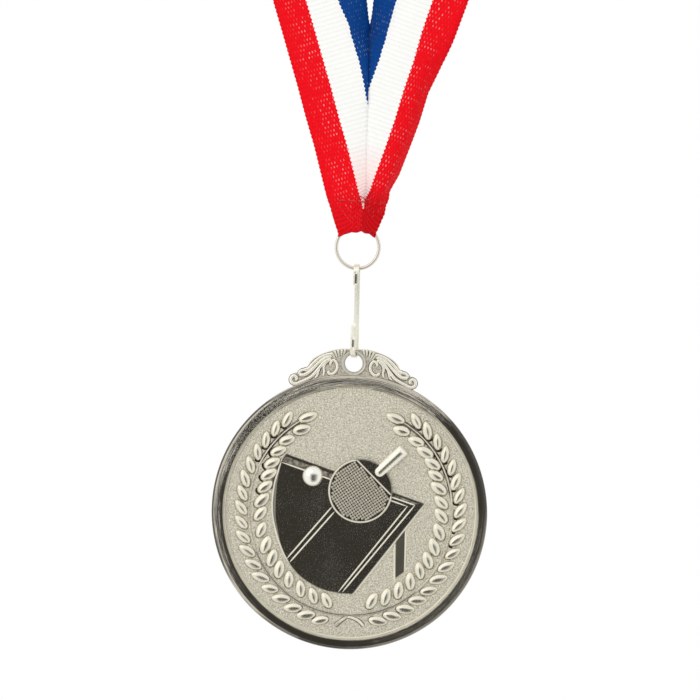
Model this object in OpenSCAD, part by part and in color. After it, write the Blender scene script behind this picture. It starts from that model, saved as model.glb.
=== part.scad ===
// Prize medal on a neck ribbon: a die-cast disc with a scrolled crown, a laurel wreath and
// a table-tennis relief, hung by a folded strip hook and a split ring from a sewn tape.
// Millimetres. +Z is up, the medal's face looks along -Y, X runs to its right.
// The origin is where the top of the ribbon loop rests on the neck.

/* [Disc] */
// Diameter of the disc
disc_d = 65; // [62:1:70]
// Thickness of the rim, front to back
rim_t = 3; // [2.6:0.1:3.6]
// Width of the raised rim
rim_w = 3.4; // [2.8:0.1:3.8]
// Depth of the front field below the top of the rim
field_depth = 0.9; // [0.6:0.1:1.1]
// Depth of the plain field on the back
back_depth = 0.4; // [0.2:0.1:0.6]
// Width of the fine bead line inside the rim
bead_d = 0.4; // [0.2:0.05:0.5]

/* [Crown] */
// Thickness of the crown plate
crown_t = 1.7; // [1.5:0.1:1.8]
// Diameter of the hole that the hook goes through
hole_d = 4.1; // [3.8:0.1:4.2]
// Metal between the hole and the top of the crown
hole_bar = 1.35; // [1.2:0.05:1.5]
// Bevel on both edges of the hole
hole_bevel = 0.4; // [0.2:0.05:0.5]
// Height of the scrolls above the crown plate
scroll_h = 0.35; // [0.2:0.05:0.4]

/* [Wreath] */
// Leaves in each outer row
outer_leaves = 18; // [12:1:18]
// Leaves in each inner row, without the leaf at the tip
inner_leaves = 16; // [10:1:16]
// Length of a leaf
leaf_l = 4.3; // [3.4:0.1:4.4]
// Width of a leaf
leaf_w = 2.3; // [1.6:0.1:2.4]
// Height of a leaf above the field
leaf_h = 0.8; // [0.5:0.05:0.9]
// Thickness of the stems
stem_d = 0.7; // [0.4:0.1:0.8]

/* [Relief] */
// Height of the table's top above the field
table_h = 0.35; // [0.25:0.05:0.45]
// Height of the table's lines above its top
line_h = 0.15; // [0.1:0.05:0.2]
// Diameter of the bat's blade
blade_d = 15.2; // [13:0.2:15.6]
// Height of the bat's blade above the field
blade_h = 0.8; // [0.7:0.05:1]
// Width of the bat's handle
handle_w = 2.3; // [1.8:0.1:2.6]
// Diameter of the ball
ball_d = 4.7; // [3.6:0.1:5]
// Height of the ball above the field
ball_h = 1.5; // [1.1:0.1:1.7]

/* [Hook] */
// Length of the hook over its two bends
hook_len = 22.3; // [20:0.5:28]
// Width of the strip
hook_w = 1.3; // [1:0.1:1.5]
// Thickness of the strip
hook_t = 0.5; // [0.4:0.05:0.7]
// Inside radius of both bends
hook_r = 1.6; // [1.55:0.05:2]
// Length of the upper tongue, which closes over the ring
tongue_top = 3; // [2:0.5:6]
// Length of the lower tongue, which closes through the crown
tongue_low = 6; // [4:0.5:8]
// How far the hook is turned about the vertical
hook_turn = 12; // [0:1:14]
// Play between the hook and what hangs in it
hook_play = 0.2; // [0.15:0.05:0.3]

/* [Ring] */
// Outside diameter of the split ring
ring_d = 11; // [10.5:0.5:13]
// Wire diameter of the split ring
ring_wire = 0.9; // [0.7:0.1:1.1]
// Gap where the ring's ends meet
ring_gap = 0.2; // [0.1:0.1:0.5]

/* [Ribbon] */
// Width of the tape
tape_w = 22; // [20:1:25]
// Thickness of the tape
tape_t = 0.8; // [0.5:0.1:1]
// Length of the tape before it is sewn
tape_len = 800; // [700:10:900]
// Angle of each strand from the vertical where the two are mitred
strand_angle = 18.5; // [16:0.5:20]
// How far the inner third of the tape is turned back at the top of the seam
fold_angle = 47; // [20:1:55]
// Width of the hem round the ring
hem_w = 8.8; // [8:0.1:9.2]
// Height of the doubled tape above the corners of the hem
hem_h = 8.5; // [7:0.5:11]
// Radius of the hem's arched lower edge
hem_arch = 11; // [9:0.5:20]
// Play between the ring and the tape round it
hem_play = 0.05; // [0.03:0.01:0.1]
// Space between the two strands along the mitre seam
seam_gap = 0.2; // [0.1:0.05:0.4]

/* [Thread] */
// Thickness of the sewing thread
thread_d = 0.35; // [0.2:0.05:0.4]
// Length of one stitch
stitch_l = 2; // [1.4:0.1:2.4]
// Distance from one stitch to the next
stitch_pitch = 2.7; // [2.6:0.1:4]

/* [Hidden] */
$fn = 64;
// Scale of the relief and the crown, drawn for a 65 mm disc
k = disc_d / 65;
disc_r = disc_d / 2;
rim_r = disc_r - rim_w;
front_z = rim_t / 2;
field_z = front_z - field_depth;
back_z = -rim_t / 2;
back_field_z = back_z + back_depth;

// Tape: slanted width, loop radius and the heights that follow from the length
slant_w = tape_w / cos(strand_angle);
hem_half = hem_w / 2;
seam_half = seam_gap / 2;
hem_fold = hem_h + 2.5;
low_len = (slant_w / 2 - hem_half) / tan(strand_angle) / cos(strand_angle);
turn_len = 1 / tan(strand_angle) + (90 + strand_angle) * PI / 180;
neck_r = (tape_len / 2 - low_len - hem_fold) / turn_len;
straight_len = neck_r / tan(strand_angle);
strand_len = neck_r * turn_len;
arc_z = -(neck_r - tape_t / 2);
cross_z = arc_z - neck_r / sin(strand_angle);
hem_z = cross_z + (hem_half - slant_w / 2) / tan(strand_angle);
hem_fold_z = hem_z + hem_h;
tab_t = 2 * tape_t;
crease_s = (seam_half + slant_w / 6) / sin(strand_angle);
apex_s = (seam_half + slant_w * (1 / 6 + cos(fold_angle) / 3)) / sin(strand_angle);
low_s = (hem_fold_z + tab_t / 2 + 0.3 - cross_z) / cos(strand_angle);

// Ring, hook and medal hang in a chain below the hem
ring_r = (ring_d - ring_wire) / 2;
arch_drop = hem_arch - sqrt(hem_arch * hem_arch - hem_half * hem_half);
arch_z = hem_z + arch_drop;
ring_z = arch_z + tape_t + ring_wire / 2 - ring_r;
wire_z = ring_z - ring_r;
eye_z = wire_z - (hook_r - ring_wire / 2 - hook_play);
bend_z = eye_z - (hook_len - 2 * (hook_r + hook_t));
wall_half = crown_t / 2 - hole_bevel;
collar_h = scroll_h * 0.7;
hole_top_z = bend_z - sqrt(hook_r * hook_r - wall_half * wall_half) + hook_play;
hole_y = 38.5 * k - hole_bar - hole_d / 2;
disc_z = hole_top_z - hole_d / 2 - hole_y;

silver = [0.76, 0.75, 0.69];
steel = [0.80, 0.80, 0.78];
red = [0.86, 0.07, 0.11];

function smooth(t) = let(u = min(1, max(0, t))) u * u * (3 - 2 * u);

// The tape's centre line: a slanted straight, then an arc over the neck
function normal_angle(s) = s <= straight_len ? -strand_angle
    : -strand_angle + (s - straight_len) / neck_r * 180 / PI;
function centre(s) = s <= straight_len
    ? [s * sin(strand_angle), 0, cross_z + s * cos(strand_angle)]
    : [neck_r * cos(normal_angle(s)), 0, arc_z + neck_r * sin(normal_angle(s))];
function skew(s) = strand_angle * (1 - smooth((s - apex_s) / 40));
function fold(s) = s < apex_s ? fold_angle * smooth((s - crease_s) / (apex_s - crease_s))
    : fold_angle * (1 - smooth((s - apex_s) / 70));
function turn(s) = 90 * smooth((s - apex_s - 8) / (straight_len - apex_s - 8));
function across(s) = let(a = normal_angle(s) + skew(s))
    [cos(turn(s)) * cos(a), sin(turn(s)), cos(turn(s)) * sin(a)];
function facing(s) = let(a = normal_angle(s))
    [sin(turn(s)) * cos(a), -cos(turn(s)), sin(turn(s)) * sin(a)];
function slant(s) = tape_w / cos(skew(s));
function crease(s) = slant(s) * 2 / 3;
function flat_reach(s) = slant(s) / 2 + centre(s)[0] - seam_half;
function reach(s) = s >= apex_s ? slant(s)
    : flat_reach(s) <= crease(s) ? flat_reach(s)
    : crease(s) + (flat_reach(s) - crease(s)) / cos(fold(s));
function tape_point(s, c) = let(flat = min(c, crease(s)), bent = max(0, c - crease(s)))
    centre(s) + (slant(s) / 2 - flat - bent * cos(fold(s))) * across(s)
    - bent * sin(fold(s)) * facing(s);
function section(s) = let(cs = [0, min(crease(s), reach(s) * 2 / 3), reach(s)],
    half = tape_t / 2 * facing(s))
    [tape_point(s, cs[0]) + half, tape_point(s, cs[1]) + half, tape_point(s, cs[2]) + half,
     tape_point(s, cs[2]) - half, tape_point(s, cs[1]) - half, tape_point(s, cs[0]) - half];
function mirrored(ring) = [for (p = ring) [-p[0], p[1], p[2]]];
function flat_list(rings) = [for (ring = rings, p = ring) p];
function edge_x(z) = slant_w / 2 + (z - cross_z) * tan(strand_angle);

// Seam line on the back of the tape
function seam_back(z) = let(s = (z - cross_z) / cos(strand_angle), p = tape_point(s, reach(s)))
    [0, p[1] + tape_t / 2, z];

// Places children on the medal: x right, y up, z out of the face
module on_medal() {
    translate([0, 0, disc_z]) rotate([90, 0, 0]) children();
}

// One half-round ridge bent to an arc, for scrolls and stems
module ridge(x, y, r, from, to, half) {
    translate([x, y, 0]) rotate([0, 0, from]) rotate_extrude(angle = to - from)
        translate([r, 0]) circle(half);
}

// One pointed leaf along Y with a ridge down its middle, its edge at z = 0 and sunk a little below
module leaf() {
    ridge_r = (leaf_l * leaf_l / 4 + leaf_h * leaf_h) / (2 * leaf_h);
    shift = (leaf_l * leaf_l - leaf_w * leaf_w) / (4 * leaf_w);
    side_r = sqrt(ridge_r * ridge_r + shift * shift);
    intersection() {
        translate([-leaf_l / 2, -leaf_l, -0.2]) cube([leaf_l, 2 * leaf_l, leaf_l]);
        translate([shift, 0, leaf_h - ridge_r]) sphere(side_r);
        translate([-shift, 0, leaf_h - ridge_r]) sphere(side_r);
    }
}

// Leaf at an angle from the top, at a radius, splayed from the stem's direction
module placed_leaf(angle, radius, splay) {
    rotate([0, 0, angle]) translate([0, radius, 0]) rotate([0, 0, 90 + splay]) leaf();
}

// One branch on the left of the face
module branch() {
    for (i = [0:outer_leaves - 1]) {
        a = 35.5 + i * 131 / (outer_leaves - 1);
        placed_leaf(a, 25.8 * k, 22);
    }
    for (i = [0:inner_leaves - 1]) {
        a = 32.5 + i * 136 / (inner_leaves - 1);
        placed_leaf(a, 21.5 * k, -42);
    }
    placed_leaf(24.5, 24.4 * k, -8);
    ridge(0, 0, 23.9 * k, 90 + 29, 90 + 166, stem_d / 2);
    ridge(-7 * k, -39.2 * k, 15.8 * k, 48, 88, stem_d * 0.65);
}

module wreath() {
    branch();
    mirror([1, 0, 0]) branch();
}

// Table top seen in perspective, cut by a round edge on the left
module table_outline() {
    intersection() {
        polygon([[-20, 15], [17.5, 2.4], [1.5, -19.4], [-1.4, -24], [-22, -20]]);
        translate([1.1, 0.2]) circle(19.5);
    }
}

module table_lines() {
    intersection() {
        difference() {
            polygon([[-20, 13.4], [15.4, 2.0], [-2, -20.2], [-22, -20]]);
            polygon([[-20, 12.3], [13.7, 1.6], [-3.2, -20.2], [-22, -20]]);
        }
        translate([1.1, 0.2]) circle(19.2);
    }
    intersection() {
        polygon([[-3.3, 1.9], [-2.5, 1.1], [-15, -14.1], [-15.8, -13.3]]);
        translate([1.1, 0.2]) circle(19.2);
    }
}

module table_relief() {
    translate([0, 0, field_z - 0.2]) linear_extrude(0.2 + table_h) scale(k) table_outline();
    translate([0, 0, field_z]) linear_extrude(table_h + line_h) scale(k) table_lines();
    translate([0, 0, field_z - 0.2]) linear_extrude(0.2 + table_h * 0.8) scale(k)
        polygon([[11.3, -5], [13.2, -4], [13.3, -14.9], [11.5, -16.2]]);
}

module bat_relief() {
    translate([2.5 * k, 4.9 * k, field_z]) {
        translate([0, 0, -0.2]) cylinder(d = blade_d * k, h = 0.2 + blade_h);
        translate([0, 0, blade_h - 0.1]) linear_extrude(0.1 + line_h) scale(k) difference() {
            circle(d = blade_d);
            circle(d = blade_d - 1.2);
        }
        translate([0, 0, blade_h - 0.1]) linear_extrude(0.1 + line_h) scale(k) intersection() {
            circle(d = blade_d);
            rotate([0, 0, 44.6]) translate([3.1, -10]) square([0.5, 20]);
        }
        rotate([0, 0, 44.6]) translate([5.4 * k, 0, blade_h - 0.4]) {
            rotate([0, 90, 0]) cylinder(d = handle_w * k, h = 8.7 * k);
            sphere(d = handle_w * k);
        }
    }
}

module ball_relief() {
    ball_r = ball_d * k / 2;
    dome_r = (ball_r * ball_r + ball_h * ball_h) / (2 * ball_h);
    translate([-8.9 * k, 8.05 * k, field_z - 0.2]) intersection() {
        cylinder(r = ball_r, h = 0.3 + ball_h);
        translate([0, 0, 0.2 + ball_h - dome_r]) sphere(dome_r);
    }
}

// Turned blank: rim rounded over on the front, plain recess on the back
module blank() {
    rotate_extrude(angle = 360) {
        polygon(concat(
            [[0, back_field_z], [rim_r - 0.4, back_field_z], [rim_r, back_z]],
            [[disc_r - 0.4, back_z], [disc_r, back_z + 0.4], [disc_r, field_z]],
            [for (i = [1:9]) [disc_r - rim_w / 2 + rim_w / 2 * cos(18 * i),
                field_z + field_depth * pow(sin(18 * i), 0.7)]],
            [[rim_r, field_z], [0, field_z]]));
        translate([rim_r - bead_d, field_z]) circle(d = bead_d);
    }
}

module crown_outline() {
    half = [[2.7, 38.5], [4.6, 38.2], [6.2, 37.7], [7.9, 37], [9.4, 36.1], [10.5, 35],
        [11, 33.9], [12.1, 33.5], [12.9, 32.7], [14, 32.4], [14.8, 31.7], [15.1, 30.7],
        [14.7, 29.7], [13.6, 29]];
    polygon(concat(half, [for (i = [len(half) - 1:-1:0]) [-half[i][0], half[i][1]]]));
}

module crown_scrolls() {
    ridge(4.6 * k, 31 * k, 6.2 * k, 27, 84, scroll_h);
    ridge(4.9 * k, 31.6 * k, 4.4 * k, 20, 66, scroll_h * 0.8);
    ridge(12.7 * k, 34.9 * k, 2.7 * k, 214, 262, scroll_h * 0.8);
    ridge(13.4 * k, 30.8 * k, 1 * k, -170, 130, scroll_h);
    ridge(5.2 * k, 33.8 * k, 1.4 * k, -120, 165, scroll_h);
    for (a = [35, 48, 61]) {
        translate([0, hole_y, 0]) rotate([0, 0, a]) translate([3.5 * k, 0, 0]) rotate([0, 90, 0])
            cylinder(r = scroll_h * 0.7, h = 0.9 * k);
    }
}

module crown() {
    translate([0, 0, -crown_t / 2]) linear_extrude(crown_t) scale(k) crown_outline();
    translate([0, 0, crown_t / 2]) {
        crown_scrolls();
        mirror([1, 0, 0]) crown_scrolls();
    }
    translate([0, hole_y, 0]) cylinder(d = hole_d + 1.9, h = crown_t / 2 + collar_h);
}

module hole_cut() {
    bevel_h = crown_t / 2 + collar_h - wall_half + 0.1;
    translate([0, hole_y, 0]) {
        cylinder(d = hole_d, h = 2 * crown_t, center = true);
        for (side = [0, 180]) {
            rotate([side, 0, 0]) translate([0, 0, wall_half])
                cylinder(r1 = hole_d / 2, r2 = hole_d / 2 + bevel_h, h = bevel_h);
        }
    }
}

module medal() {
    color(silver) on_medal() difference() {
        union() {
            blank();
            crown();
            translate([0.5 * k, 0, field_z]) rotate([0, 0, 1.3]) wreath();
            table_relief();
            bat_relief();
            ball_relief();
        }
        hole_cut();
    }
}

// Strip folded over at both ends, its long leg at the back
module hook() {
    mid_r = hook_r + hook_t / 2;
    color(steel) rotate([0, 0, -hook_turn]) {
        translate([0, mid_r, (eye_z + bend_z) / 2]) cube([hook_w, hook_t, eye_z - bend_z], center = true);
        translate([0, -mid_r, eye_z - tongue_top / 2]) cube([hook_w, hook_t, tongue_top], center = true);
        translate([0, -mid_r, bend_z + tongue_low / 2]) cube([hook_w, hook_t, tongue_low], center = true);
        translate([0, 0, eye_z]) rotate([0, 90, 0]) rotate([0, 0, 90]) rotate_extrude(angle = 180)
            translate([mid_r, 0]) square([hook_t, hook_w], center = true);
        translate([0, 0, bend_z]) rotate([0, 90, 0]) rotate([0, 0, -90]) rotate_extrude(angle = 180)
            translate([mid_r, 0]) square([hook_t, hook_w], center = true);
    }
}

// Split ring; its ends meet inside the hem
module split_ring() {
    gap_angle = ring_gap / ring_r * 180 / PI;
    color(steel) translate([0, 0, ring_z]) rotate([90, 0, 0]) rotate([0, 0, 90 + gap_angle / 2])
        rotate_extrude(angle = 360 - gap_angle) translate([ring_r, 0]) circle(d = ring_wire);
}

// Doubled end of the tape: a roll round the ring's wire and a tab up to the sewn fold
module ribbon_hem() {
    roll_t = ring_wire + 2 * tape_t + 2 * hem_play;
    roll_h = ring_wire + 2 * tape_t;
    half_angle = asin(hem_half / hem_arch);
    color(red * 0.85) difference() {
        union() {
            translate([0, 0, arch_z - hem_arch]) rotate([90, 0, 0]) rotate([0, 0, 90 - half_angle])
                rotate_extrude(angle = 2 * half_angle) {
                    translate([hem_arch + roll_t / 2, 0]) circle(d = roll_t);
                    translate([hem_arch + roll_t / 2, -roll_t / 2]) square([roll_h - roll_t / 2, roll_t]);
                }
            rotate([90, 0, 0]) translate([0, 0, -tab_t / 2]) linear_extrude(tab_t)
                polygon([[-edge_x(hem_z + 1), hem_z + 1], [edge_x(hem_z + 1), hem_z + 1],
                    [edge_x(hem_fold_z), hem_fold_z], [-edge_x(hem_fold_z), hem_fold_z]]);
            translate([-edge_x(hem_fold_z), 0, hem_fold_z]) rotate([0, 90, 0])
                cylinder(d = tab_t, h = 2 * edge_x(hem_fold_z));
        }
        translate([0, 0, ring_z]) rotate([90, 0, 0]) rotate_extrude(angle = 360)
            translate([ring_r, 0]) circle(d = ring_wire + 2 * hem_play);
    }
}

// Tape from one mitred end over the neck to the other
module neck_ribbon() {
    low_n = 9;
    mid_n = 18;
    top_n = 12;
    steps = concat(
        [for (i = [0:low_n - 1]) low_s + (apex_s - low_s) * i / low_n],
        [for (i = [0:mid_n - 1]) apex_s + (straight_len - apex_s) * i / mid_n],
        [for (i = [0:top_n]) straight_len + (strand_len - straight_len) * i / top_n]);
    right = [for (s = steps) section(s)];
    left = [for (i = [len(right) - 2:-1:0]) mirrored(right[i])];
    rings = concat(right, left);
    n = len(rings);
    color(red) polyhedron(points = flat_list(rings), faces = concat(
        [for (i = [0:n - 2], j = [0:5]) [6 * i + j, 6 * (i + 1) + j, 6 * i + (j + 1) % 6]],
        [for (i = [0:n - 2], j = [0:5])
            [6 * (i + 1) + j, 6 * (i + 1) + (j + 1) % 6, 6 * i + (j + 1) % 6]],
        [[0, 1, 5], [1, 4, 5], [1, 2, 4], [2, 3, 4]],
        [for (f = [[5, 1, 0], [5, 4, 1], [4, 2, 1], [4, 3, 2]])
            [for (v = f) 6 * (n - 1) + v]]));
}

// Stitches down the back of the mitre seam
module seam_thread() {
    start_z = hem_fold_z + tab_t / 2 + 1.5;
    end_z = cross_z + apex_s * cos(strand_angle) - 1;
    count = floor((end_z - start_z - stitch_l) / stitch_pitch);
    lift = thread_d / 2 + 0.06;
    color(red) for (i = [0:count]) {
        a = seam_back(start_z + i * stitch_pitch);
        b = seam_back(start_z + i * stitch_pitch + stitch_l);
        translate([0, a[1] + lift, a[2]]) rotate([-atan2(b[1] - a[1], b[2] - a[2]), 0, 0]) {
            cylinder(d = thread_d, h = norm(b - a));
            sphere(d = thread_d);
            translate([0, 0, norm(b - a)]) sphere(d = thread_d);
        }
    }
}

// Stitches across the hem, through both layers
module hem_thread() {
    row_z = hem_fold_z - 1.2;
    count = floor((2 * edge_x(row_z) - 1 - stitch_l) / stitch_pitch);
    row_l = count * stitch_pitch + stitch_l;
    color(red) for (side = [-1, 1], i = [0:count]) {
        translate([i * stitch_pitch - row_l / 2, side * (tab_t / 2 + thread_d / 2 + 0.01), row_z]) {
            rotate([0, 90, 0]) cylinder(d = thread_d, h = stitch_l);
            sphere(d = thread_d);
            translate([stitch_l, 0, 0]) sphere(d = thread_d);
        }
    }
}

neck_ribbon();
seam_thread();
ribbon_hem();
hem_thread();
split_ring();
hook();
medal();
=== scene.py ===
import math
import random

import bpy
import numpy as np
from mathutils import Matrix, Vector
from mathutils.geometry import tessellate_polygon

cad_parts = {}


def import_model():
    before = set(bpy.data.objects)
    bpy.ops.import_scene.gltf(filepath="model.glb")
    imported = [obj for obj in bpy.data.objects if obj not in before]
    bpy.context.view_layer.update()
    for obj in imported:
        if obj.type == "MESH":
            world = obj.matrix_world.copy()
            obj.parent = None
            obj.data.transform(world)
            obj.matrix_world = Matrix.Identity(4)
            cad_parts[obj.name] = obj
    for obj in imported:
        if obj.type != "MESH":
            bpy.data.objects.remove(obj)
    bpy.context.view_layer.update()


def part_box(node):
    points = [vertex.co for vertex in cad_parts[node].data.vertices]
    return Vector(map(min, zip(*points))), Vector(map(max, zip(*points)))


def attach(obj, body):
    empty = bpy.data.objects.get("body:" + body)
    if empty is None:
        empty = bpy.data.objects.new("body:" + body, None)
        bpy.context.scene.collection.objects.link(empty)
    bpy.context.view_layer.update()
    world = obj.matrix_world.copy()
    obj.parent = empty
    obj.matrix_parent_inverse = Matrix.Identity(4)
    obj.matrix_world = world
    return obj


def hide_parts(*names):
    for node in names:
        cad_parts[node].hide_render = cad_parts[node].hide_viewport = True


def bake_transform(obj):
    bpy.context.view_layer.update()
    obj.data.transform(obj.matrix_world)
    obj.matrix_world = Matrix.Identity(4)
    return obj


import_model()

# Lengths of the part are millimetres until a mesh is made, where they become metres
MM = 0.001
random.seed(7)


# Places and meshes

def moved(x, y, z=0):
    return Matrix.Translation((x, y, z))


def rotation(degrees, axis="Z"):
    return Matrix.Rotation(math.radians(degrees), 4, axis)


def polar(radius, degrees):
    a = math.radians(degrees)
    return radius * math.cos(a), radius * math.sin(a)


def new_object(name, data):
    obj = bpy.data.objects.new(name, data)
    bpy.context.scene.collection.objects.link(obj)
    return obj


def new_mesh(name, verts, faces):
    """Mesh object from points in metres."""
    mesh = bpy.data.meshes.new(name)
    mesh.from_pydata(verts, [], faces)
    return new_object(name, mesh)


class Shape:
    """Vertices and faces gathered from several forms, each face with a material index."""

    def __init__(self, place=None):
        self.place = place or Matrix.Identity(4)
        self.verts = []
        self.faces = []
        self.mats = []

    def add(self, verts, faces, mat=0, at=None):
        move = self.place @ at if at else self.place
        used = sorted({i for f in faces for i in f})
        new = {old: len(self.verts) + k for k, old in enumerate(used)}
        self.verts += [move @ Vector(verts[i]) for i in used]
        self.faces += [[new[i] for i in f] for f in faces]
        self.mats += [mat] * len(faces)

    def make(self, name, materials, sharp=32):
        obj = new_mesh(name, [v * MM for v in self.verts], self.faces)
        mesh = obj.data
        for m in materials:
            mesh.materials.append(m)
        mesh.polygons.foreach_set("material_index", self.mats)
        mesh.validate()
        mesh.shade_smooth()
        mesh.set_sharp_from_angle(angle=math.radians(sharp))
        return obj


def grid_faces(rows, cols, closed=False):
    """Faces between rows of points that each run round. A closed grid joins its last row to its first."""
    faces = []
    for i in range(rows if closed else rows - 1):
        k = (i + 1) % rows
        for j in range(cols):
            m = (j + 1) % cols
            faces.append([i * cols + j, i * cols + m, k * cols + m, k * cols + j])
    return faces


def lathe(profile, n, closed=False):
    """Turns (r, z) points about local z. A profile that starts or ends at r = 0 is capped there."""
    inner = [p for p in profile if p[0] > 0]
    verts = [(*polar(r, 360 * i / n), z) for r, z in inner for i in range(n)]
    faces = grid_faces(len(inner), n, closed)
    for end, ring in ((profile[0], 0), (profile[-1], len(inner) - 1)):
        if end[0] == 0:
            verts.append((0, 0, end[1]))
            top = len(verts) - 1
            for i in range(n):
                a, b = ring * n + i, ring * n + (i + 1) % n
                faces.append([a, b, top] if ring else [b, a, top])
    return verts, faces


def loft(loops, cap_first=False, cap_last=True):
    """Joins loops of equally many points."""
    n = len(loops[0])
    verts = [p for loop in loops for p in loop]
    faces = grid_faces(len(loops), n)
    if cap_first:
        faces.append(list(range(n))[::-1])
    if cap_last:
        faces.append(list(range((len(loops) - 1) * n, len(loops) * n)))
    return verts, faces


def curve(points, step):
    """Smooth line through 2D or 3D points, sampled about every step."""
    pts = [Vector(p) for p in points]
    pts = [2 * pts[0] - pts[1]] + pts + [2 * pts[-1] - pts[-2]]
    out = []
    for a, b, c, d in zip(pts, pts[1:], pts[2:], pts[3:]):
        n = max(2, round((c - b).length / step))
        for i in range(n):
            t = i / n
            out.append(0.5 * (2 * b + (c - a) * t + (2 * a - 5 * b + 4 * c - d) * t ** 2
                              + (3 * b - a - 3 * c + d) * t ** 3))
    return out + [pts[-2]]


def ridge(points, half, height, z, taper=(1, 1), sides=10):
    """Round-topped bar along a flat line, sunk a little into what carries it."""
    sunk, end_points, thinnest = 0.12, 2.5, 0.25
    last = len(points) - 1
    loops = []
    for i, p in enumerate(points):
        a, b = points[max(0, i - 1)], points[min(last, i + 1)]
        d = Vector((b[0] - a[0], b[1] - a[1])).normalized()
        side = Vector((-d.y, d.x))
        from_end = min(i, last - i, end_points) / end_points
        scale = taper[0] + (taper[1] - taper[0]) * i / last
        scale *= max(thinnest, math.sqrt(1 - (1 - from_end) ** 2))
        loop = []
        for j in range(sides):
            out, up = polar(1, 360 * j / sides)
            q = Vector((p[0], p[1])) + side * (half * scale * out)
            loop.append((q.x, q.y, z + up * (height * scale if up > 0 else sunk)))
        loops.append(loop[::-1])
    return loft(loops, cap_first=True)


def inset(loop, d):
    """Moves the points of a flat anticlockwise loop inwards by d, one number or one per point."""
    sharpest = 0.35
    flat = [Vector(p[:2]) for p in loop]
    out = []
    for i, p in enumerate(flat):
        u = (p - flat[i - 1]).normalized()
        v = (flat[(i + 1) % len(flat)] - p).normalized()
        inwards = Vector((-u.y, u.x))
        middle = (inwards + Vector((-v.y, v.x))).normalized()
        step = d[i] if isinstance(d, list) else d
        out.append(tuple(p + middle * (step / max(sharpest, middle.dot(inwards)))))
    return out


def at_z(loop, z):
    return [(p[0], p[1], z) for p in loop]


def segment(a, b, n):
    """n points from a towards b, without b."""
    a, b = Vector(a), Vector(b)
    return [tuple(a + (b - a) * (i / n)) for i in range(n)]


def tube(points, radius, sides=8):
    """Round bar along a line in space, thinner at both ends."""
    end_share = 0.55
    pts = [Vector(p) for p in points]
    last = len(pts) - 1
    loops = []
    side = Vector((0.31, 0.83, 0.46)).normalized()
    for i, p in enumerate(pts):
        d = (pts[min(last, i + 1)] - pts[max(0, i - 1)]).normalized()
        side = (side - d * side.dot(d)).normalized()
        other = d.cross(side)
        r = radius * (end_share if i in (0, last) else 1)
        circle = [polar(r, 360 * j / sides) for j in range(sides)]
        loops.append([tuple(p + side * x + other * y) for x, y in circle])
    return loft(loops, cap_first=True)


# Materials

class Value:
    """Output of a node, which can be added, subtracted, multiplied and divided like a number."""

    def __init__(self, graph, socket):
        self.graph = graph
        self.socket = socket

    def __add__(self, other):
        return self.graph.math("ADD", self, other)

    def __sub__(self, other):
        return self.graph.math("SUBTRACT", self, other)

    def __rsub__(self, other):
        return self.graph.math("SUBTRACT", other, self)

    def __mul__(self, other):
        return self.graph.math("MULTIPLY", self, other)

    def __truediv__(self, other):
        return self.graph.math("DIVIDE", self, other)


class Graph:
    """Short names for the nodes of one material or world."""

    def __init__(self, owner, shader, output):
        self.owner = owner
        owner.use_nodes = True
        self.tree = owner.node_tree
        self.tree.nodes.clear()
        self.shader = self.tree.nodes.new(shader)
        out = self.tree.nodes.new(output)
        self.tree.links.new(self.shader.outputs[0], out.inputs[0])

    def add(self, kind, inputs=(), **settings):
        n = self.tree.nodes.new(kind)
        for key, value in settings.items():
            setattr(n, key, value)
        for key, value in dict(inputs).items():
            self.put(n.inputs[key], value)
        return n

    def node(self, kind, inputs=(), output=0, **settings):
        """Adds a node and gives one of its outputs."""
        return Value(self, self.add(kind, inputs, **settings).outputs[output])

    def put(self, socket, value):
        if isinstance(value, Value):
            self.tree.links.new(value.socket, socket)
        else:
            socket.default_value = value

    def set(self, **values):
        for key, value in values.items():
            self.put(self.shader.inputs[key.replace("_", " ")], value)

    def math(self, operation, a, b=0.0):
        return self.node("ShaderNodeMath", {0: a, 1: b}, operation=operation)

    def most(self, a, b):
        return self.math("MAXIMUM", a, b)

    def length(self, x, y):
        return self.math("SQRT", x * x + y * y)

    def humps(self, value):
        """Row of rounded humps, one from each whole number to the next."""
        return self.math("ABSOLUTE", self.math("SINE", value * math.pi))

    def vec(self, x, y=0.0, z=0.0):
        return self.node("ShaderNodeCombineXYZ", {0: x, 1: y, 2: z})

    def split(self, v):
        return [Value(self, out) for out in self.add("ShaderNodeSeparateXYZ", {0: v}).outputs]

    def noise(self, vector, scale, detail=2.0, rough=0.5):
        return self.node("ShaderNodeTexNoise", {"Vector": vector, "Scale": scale, "Detail": detail,
                                                "Roughness": rough}, "Fac")

    def ramp(self, fac, stops, mode="LINEAR"):
        n = self.add("ShaderNodeValToRGB", {0: fac})
        n.color_ramp.interpolation = mode
        elements = n.color_ramp.elements
        while len(elements) < len(stops):
            elements.new(0.5)
        for element, (at, tone) in zip(elements, stops):
            element.position = at
            element.color = (*tone, 1) if isinstance(tone, tuple) else (tone, tone, tone, 1)
        return Value(self, n.outputs[0])

    def rise(self, value, low, high):
        """0 below low, 1 above high and a straight rise between them."""
        return self.node("ShaderNodeMapRange", {"Value": value, "From Min": low, "From Max": high})

    def mix(self, fac, a, b, blend="MIX"):
        a, b = ((*c, 1) if isinstance(c, tuple) else c for c in (a, b))
        return self.node("ShaderNodeMix", {0: fac, 6: a, 7: b}, 2, data_type="RGBA", blend_type=blend)

    def bump(self, height, distance, strength=1.0):
        return self.node("ShaderNodeBump", {"Height": height, "Distance": distance,
                                            "Strength": strength})

    def place(self):
        """Coordinates that move with the piece, in metres."""
        return self.node("ShaderNodeTexCoord", output="Object")


def material(name, shader="ShaderNodeBsdfPrincipled"):
    return Graph(bpy.data.materials.new(name), shader, "ShaderNodeOutputMaterial")


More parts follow.
